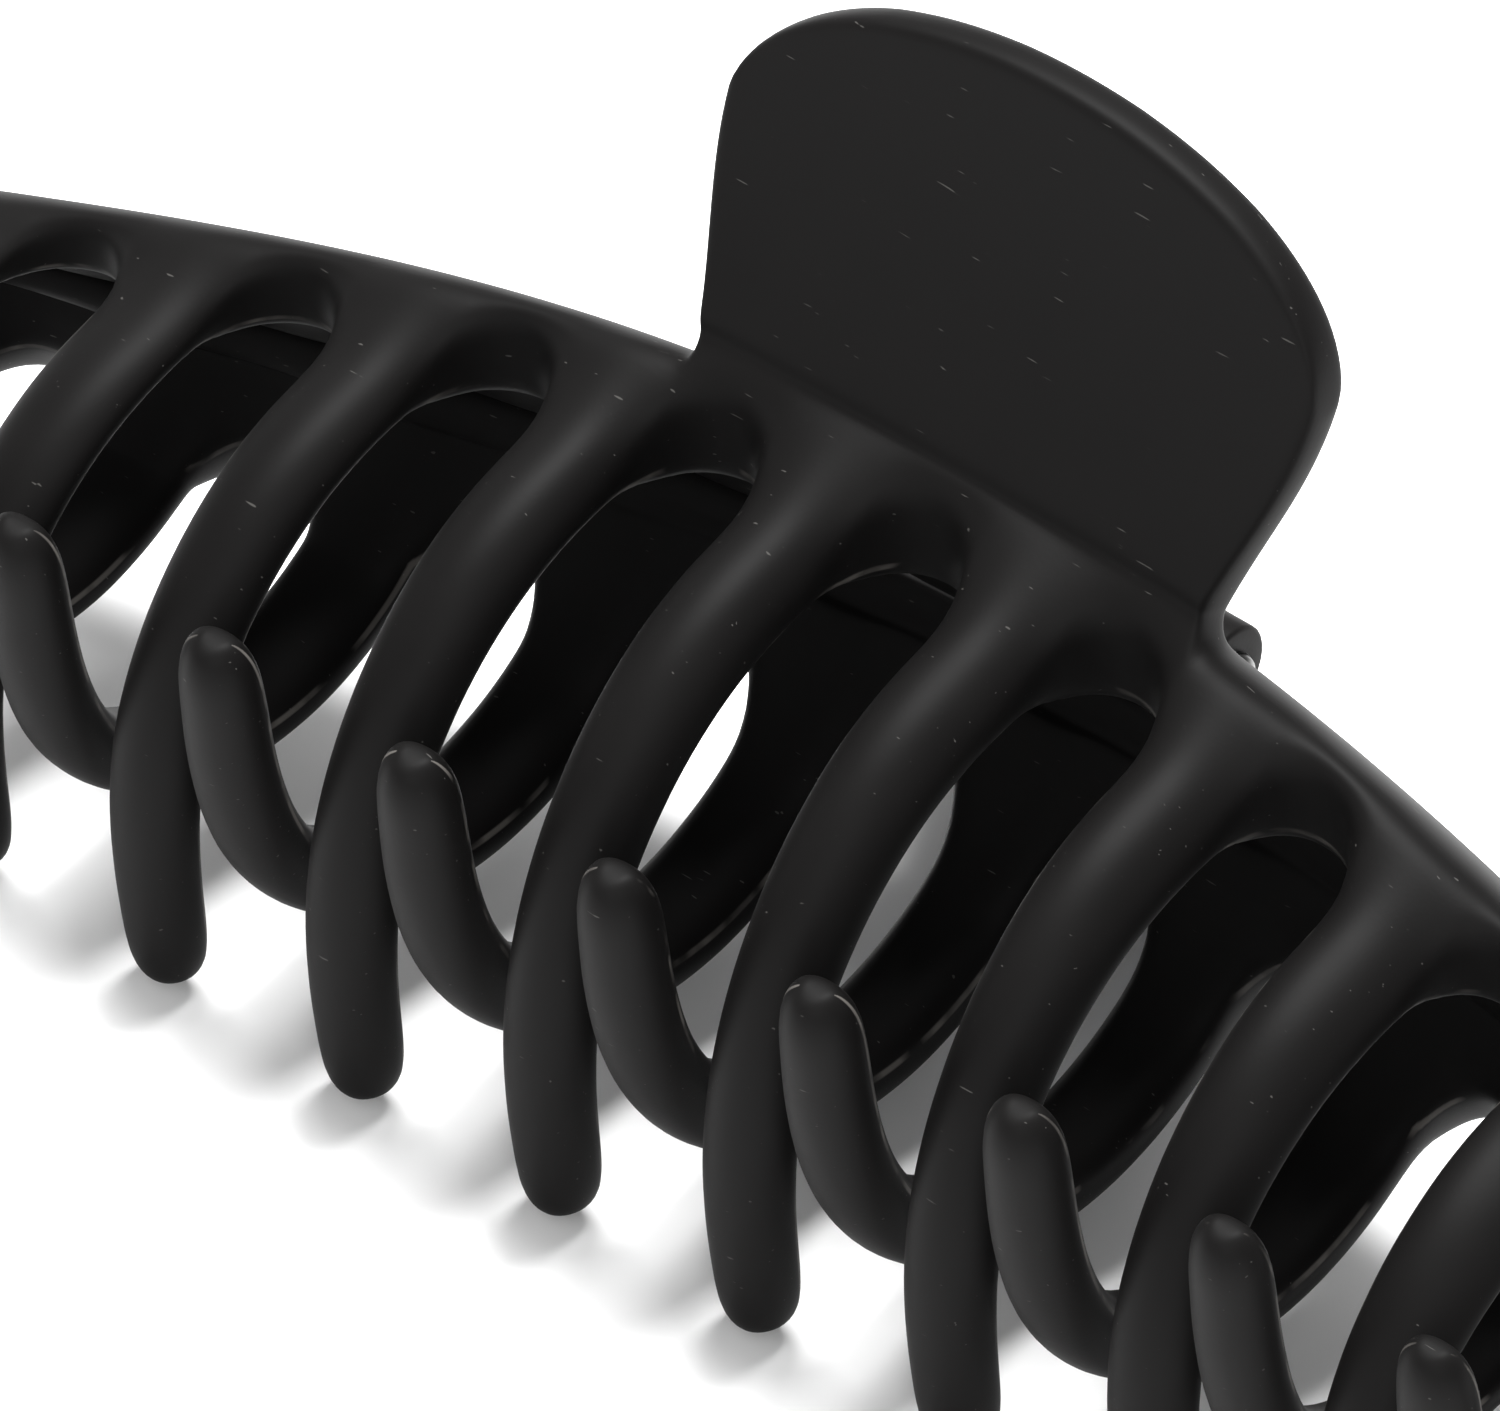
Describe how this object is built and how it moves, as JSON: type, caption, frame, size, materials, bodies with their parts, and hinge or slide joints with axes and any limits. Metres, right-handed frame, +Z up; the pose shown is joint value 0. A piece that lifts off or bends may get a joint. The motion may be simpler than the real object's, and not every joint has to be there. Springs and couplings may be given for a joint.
{
  "type": "claw clip for hair",
  "caption": "Jumbo matte black claw clip for hair: two arched jaws with interleaved curved teeth, a D-shaped thumb tab on each, hinged on a steel pin and sprung shut.",
  "frame": {"origin": "middle of the bounding box's footprint, on the table the clip lies on", "axes": "+X along the clip, parallel to the hinge pin; +Y to the back, from the teeth towards the thumb tabs; +Z up, with the clip lying on its side on the lower thumb tab and the tips of the upper jaw's teeth"},
  "size_m": [0.109, 0.0506, 0.0502],
  "materials": {
    "upper_jaw_plastic": "moulded, fine satin, black",
    "lower_jaw_plastic": "moulded, fine satin, black",
    "pin_steel": "drawn wire, blackened",
    "spring_steel": "spring wire, blackened"
  },
  "bodies": {
    "lower_jaw": {"lower_spine": "lower_jaw_plastic", "lower_thumb_tab": "lower_jaw_plastic", "lower_tooth_01": "lower_jaw_plastic", "lower_tooth_02": "lower_jaw_plastic", "lower_tooth_03": "lower_jaw_plastic", "lower_tooth_04": "lower_jaw_plastic", "lower_tooth_05": "lower_jaw_plastic", "lower_tooth_06": "lower_jaw_plastic", "lower_tooth_07": "lower_jaw_plastic", "lower_tooth_08": "lower_jaw_plastic", "lower_tooth_09": "lower_jaw_plastic", "lower_tooth_10": "lower_jaw_plastic", "lower_tooth_11": "lower_jaw_plastic", "lower_knuckle_left": "lower_jaw_plastic", "lower_knuckle_right": "lower_jaw_plastic", "hinge_pin": "pin_steel", "torsion_spring": "spring_steel"},
    "upper_jaw": {"upper_spine": "upper_jaw_plastic", "upper_thumb_tab": "upper_jaw_plastic", "upper_tooth_01": "upper_jaw_plastic", "upper_tooth_02": "upper_jaw_plastic", "upper_tooth_03": "upper_jaw_plastic", "upper_tooth_04": "upper_jaw_plastic", "upper_tooth_05": "upper_jaw_plastic", "upper_tooth_06": "upper_jaw_plastic", "upper_tooth_07": "upper_jaw_plastic", "upper_tooth_08": "upper_jaw_plastic", "upper_tooth_09": "upper_jaw_plastic", "upper_tooth_10": "upper_jaw_plastic", "upper_knuckle_left": "upper_jaw_plastic", "upper_knuckle_right": "upper_jaw_plastic"}
  },
  "joints": [
    {"name": "jaw_hinge", "type": "hinge", "parent": "lower_jaw", "child": "upper_jaw", "pos_m": [0, 0.00822, 0.0204], "axis": [-1, 0, 0], "range_deg": [0, 80], "stiffness_Nm_per_rad": 0.15, "springref_deg": -68.75, "deforming": ["torsion_spring"]}
  ]
}
